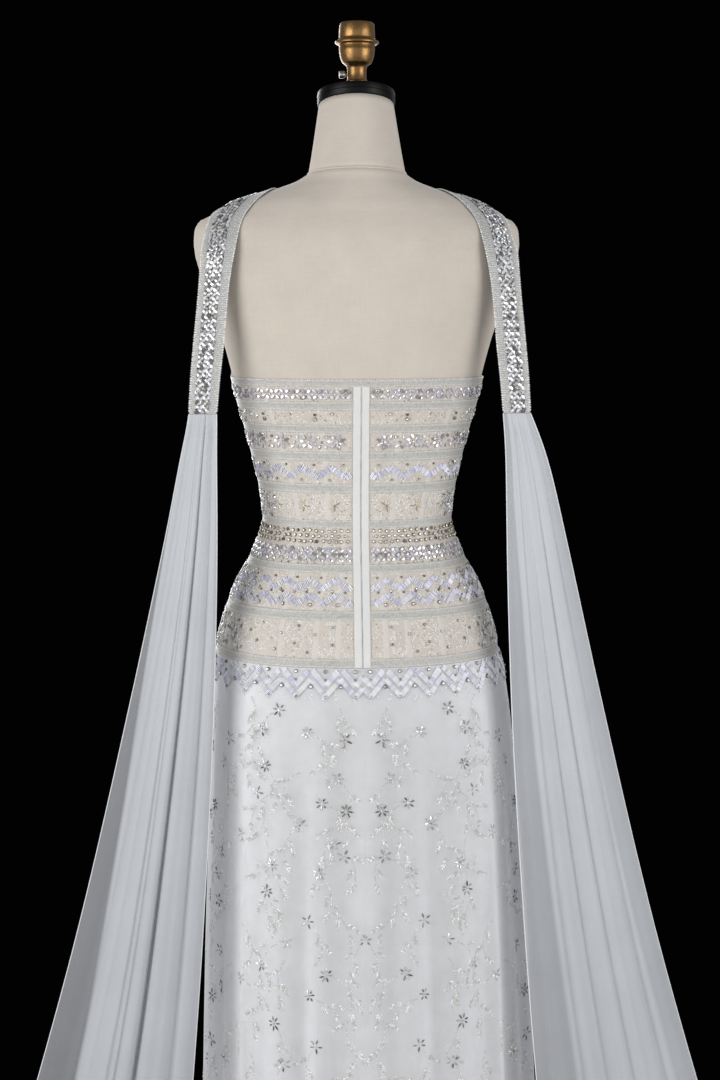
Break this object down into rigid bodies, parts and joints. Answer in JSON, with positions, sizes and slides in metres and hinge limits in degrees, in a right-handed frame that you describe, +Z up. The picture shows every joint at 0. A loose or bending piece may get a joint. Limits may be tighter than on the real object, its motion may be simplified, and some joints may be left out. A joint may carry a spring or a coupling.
{
  "type": "evening gown with cape panels on a dress form with a stand",
  "caption": "Long-line beaded evening gown with sheer overlay skirt and floor-length cape panels, worn by a limbless dress form on a stand",
  "frame": {"origin": "on the floor, at the middle of the stand base's underside", "axes": "+Z up along the stand's pole; +X towards the wearer's left; the gown's front faces -Y and its zip is at centre back, towards +Y"},
  "size_m": [1.0507, 0.4424, 1.696],
  "materials": {
    "form_linen": "matt linen",
    "cap_metal": "satin dark grey",
    "brass": "worn satin",
    "steel": "satin",
    "stand_metal": "satin dark grey",
    "bodice_cloth": "sheer nude cloth with ribbons and beads",
    "satin": "satin",
    "beaded_band": "beaded satin",
    "lining": "matt",
    "tulle": "sheer, beaded",
    "chiffon": "soft sheer"
  },
  "bodies": {
    "root": {"form_torso": "form_linen", "form_neck": "form_linen", "neck_cap": "cap_metal", "finial": "brass", "clamp_screw": "steel", "stand_flange": "steel", "stand_pole": "steel", "stand_base": "stand_metal", "bodice_front": "bodice_cloth", "bodice_back_left": "bodice_cloth", "bodice_back_right": "bodice_cloth", "placket_left": "satin", "placket_right": "satin", "zip": "steel", "lining_front": "lining", "lining_back_left": "lining", "lining_back_right": "lining", "overlay_front": "tulle", "overlay_back_left": "tulle", "overlay_back_right": "tulle", "shoulder_band_left": "beaded_band", "shoulder_band_right": "beaded_band", "cape_left": "chiffon", "cape_right": "chiffon"}
  },
  "joints": []
}
